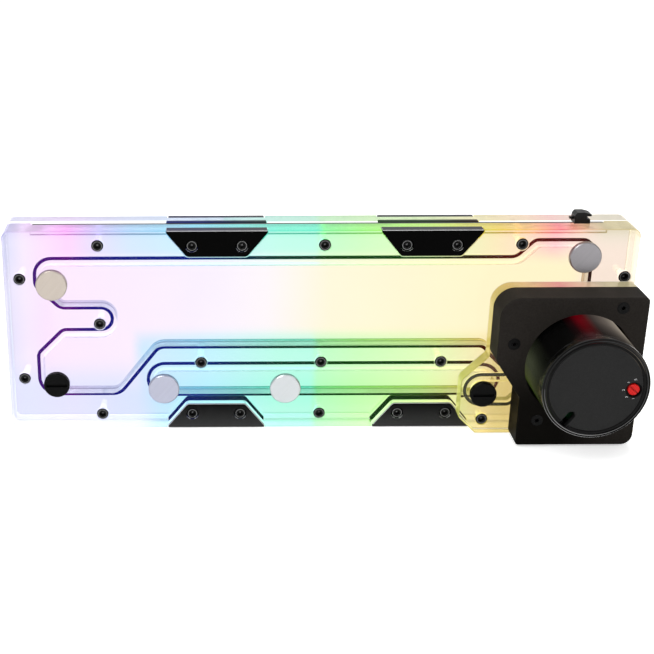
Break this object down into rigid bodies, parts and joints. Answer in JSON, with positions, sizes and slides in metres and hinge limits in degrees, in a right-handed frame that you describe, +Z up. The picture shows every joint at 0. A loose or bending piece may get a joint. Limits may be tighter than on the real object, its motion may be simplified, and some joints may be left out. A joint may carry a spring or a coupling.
{
  "type": "water cooling distribution plate",
  "caption": "Clear acrylic distribution plate with a milled reservoir and channel, edge brackets, plugged ports, a light strip and a pump clamped to a block at the right.",
  "frame": {"origin": "middle of the part's outline seen from above, at the level of the plate's lower edge", "axes": "+X along the plate towards the pump side, -Y towards the front with the pump, +Z up towards the light strip"},
  "size_m": [0.4, 0.099, 0.1432],
  "materials": {
    "clear_acrylic": "clear cast acrylic, polished faces and milled, slightly frosted pockets",
    "seal_rubber": "black rubber cord and rings",
    "bracket_black": "steel with a satin black coating",
    "screw_black": "steel, blackened",
    "plug_chrome": "brass with a bright nickel and chrome finish, turned face",
    "plug_black": "brass with a black coating",
    "pump_plate_black": "black engineering plastic, milled, satin",
    "housing_black": "gloss black moulded plastic",
    "cap_black": "matt black moulded plastic",
    "dial_red": "red moulded plastic",
    "can_grey": "dark grey moulded plastic",
    "ball_white": "polished ceramic",
    "impeller_grey": "dark moulded plastic",
    "magnet_dark": "sintered magnet",
    "core_steel": "stacked steel laminations",
    "coil_copper": "enamelled copper wire",
    "board_green": "glass fibre board with solder mask",
    "component_black": "moulded component bodies",
    "strip_black": "thin black circuit board",
    "chip_white": "white chip packages with a clear lens",
    "connector_black": "black moulded plastic"
  },
  "bodies": {
    "plate_assembly": {"front_plate": "clear_acrylic", "back_plate": "clear_acrylic", "pump_block": "clear_acrylic", "reservoir_seal": "seal_rubber", "channel_seal": "seal_rubber", "chamber_seal": "seal_rubber", "inlet_ring": "seal_rubber", "pump_ring": "seal_rubber", "port_rings": "seal_rubber", "front_bracket_top_left": "bracket_black", "front_bracket_top_right": "bracket_black", "front_bracket_bottom_left": "bracket_black", "front_bracket_bottom_right": "bracket_black", "rear_bracket_top_left": "bracket_black", "rear_bracket_top_right": "bracket_black", "rear_bracket_bottom_left": "bracket_black", "rear_bracket_bottom_right": "bracket_black", "nut_plates": "bracket_black", "front_bracket_screws": "screw_black", "rear_bracket_screws": "screw_black", "plate_screws": "screw_black", "block_screw": "screw_black", "pump_plate_screws": "screw_black", "chrome_plug_upper_left": "plug_chrome", "chrome_plug_upper_right": "plug_chrome", "chrome_plug_lower_left": "plug_chrome", "chrome_plug_lower_middle": "plug_chrome", "drain_plug": "plug_black", "block_plug": "plug_black", "pump_plate": "pump_plate_black", "motor_housing": "housing_black", "end_cap": "cap_black", "separating_can": "can_grey", "bearing_ball": "ball_white", "stator_core": "core_steel", "stator_coils": "coil_copper", "control_board": "board_green", "board_components": "component_black", "light_strip": "strip_black", "light_chips": "chip_white", "light_connector": "connector_black"},
    "rotor": {"impeller": "impeller_grey", "rotor_magnet": "magnet_dark"},
    "dial": {"speed_dial": "dial_red"}
  },
  "joints": [
    {"name": "rotor_spin", "type": "hinge", "parent": "plate_assembly", "child": "rotor", "pos_m": [0.161, 0.0023, 0.0567], "axis": [0, 1, 0], "continuous": true},
    {"name": "dial_turn", "type": "hinge", "parent": "plate_assembly", "child": "dial", "pos_m": [0.1837, -0.0488, 0.0558], "axis": [0, 1, 0], "range_deg": [-120, 120]}
  ]
}
